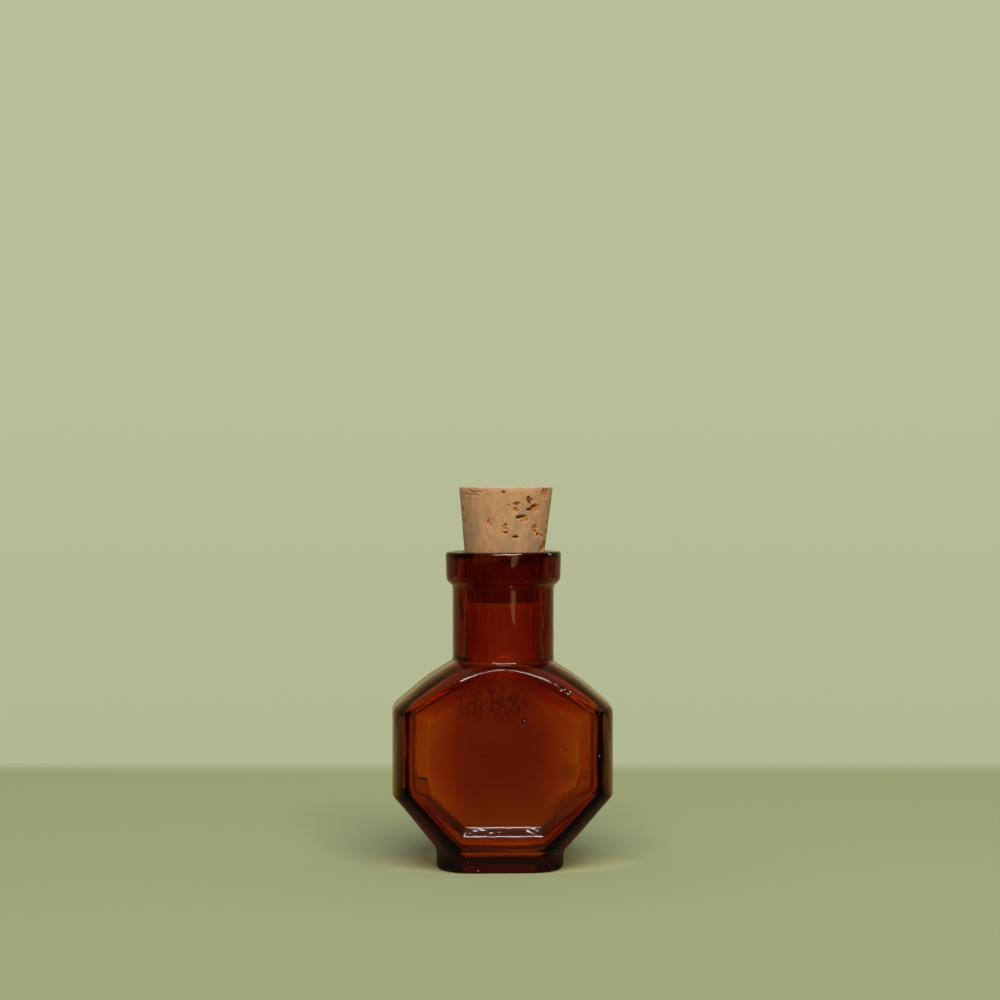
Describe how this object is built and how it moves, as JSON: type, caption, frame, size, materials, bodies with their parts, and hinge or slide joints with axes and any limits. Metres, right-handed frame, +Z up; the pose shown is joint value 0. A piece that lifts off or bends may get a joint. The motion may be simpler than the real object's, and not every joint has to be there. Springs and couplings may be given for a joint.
{
  "type": "corked glass bottle",
  "caption": "Small flat-sided amber glass flask with sunk, bevelled panels front and back, a round neck with a thick lip, a low hollowed foot and a tapered cork stopper that lifts out.",
  "frame": {"origin": "middle of the foot's underside, on the neck's axis", "axes": "+Z up along the neck and the cork, +X to the right across the bottle's broad side, the front panel faces -Y"},
  "size_m": [0.045, 0.027, 0.0774],
  "materials": {
    "amber_glass": "polished",
    "natural_cork": "matte"
  },
  "bodies": {
    "bottle": {"glass_bottle": "amber_glass"},
    "stopper": {"cork_stopper": "natural_cork"}
  },
  "joints": [
    {"name": "stopper_pull", "type": "slide", "parent": "bottle", "child": "stopper", "axis": [0, 0, 1], "range_m": [0, 0.03]}
  ]
}
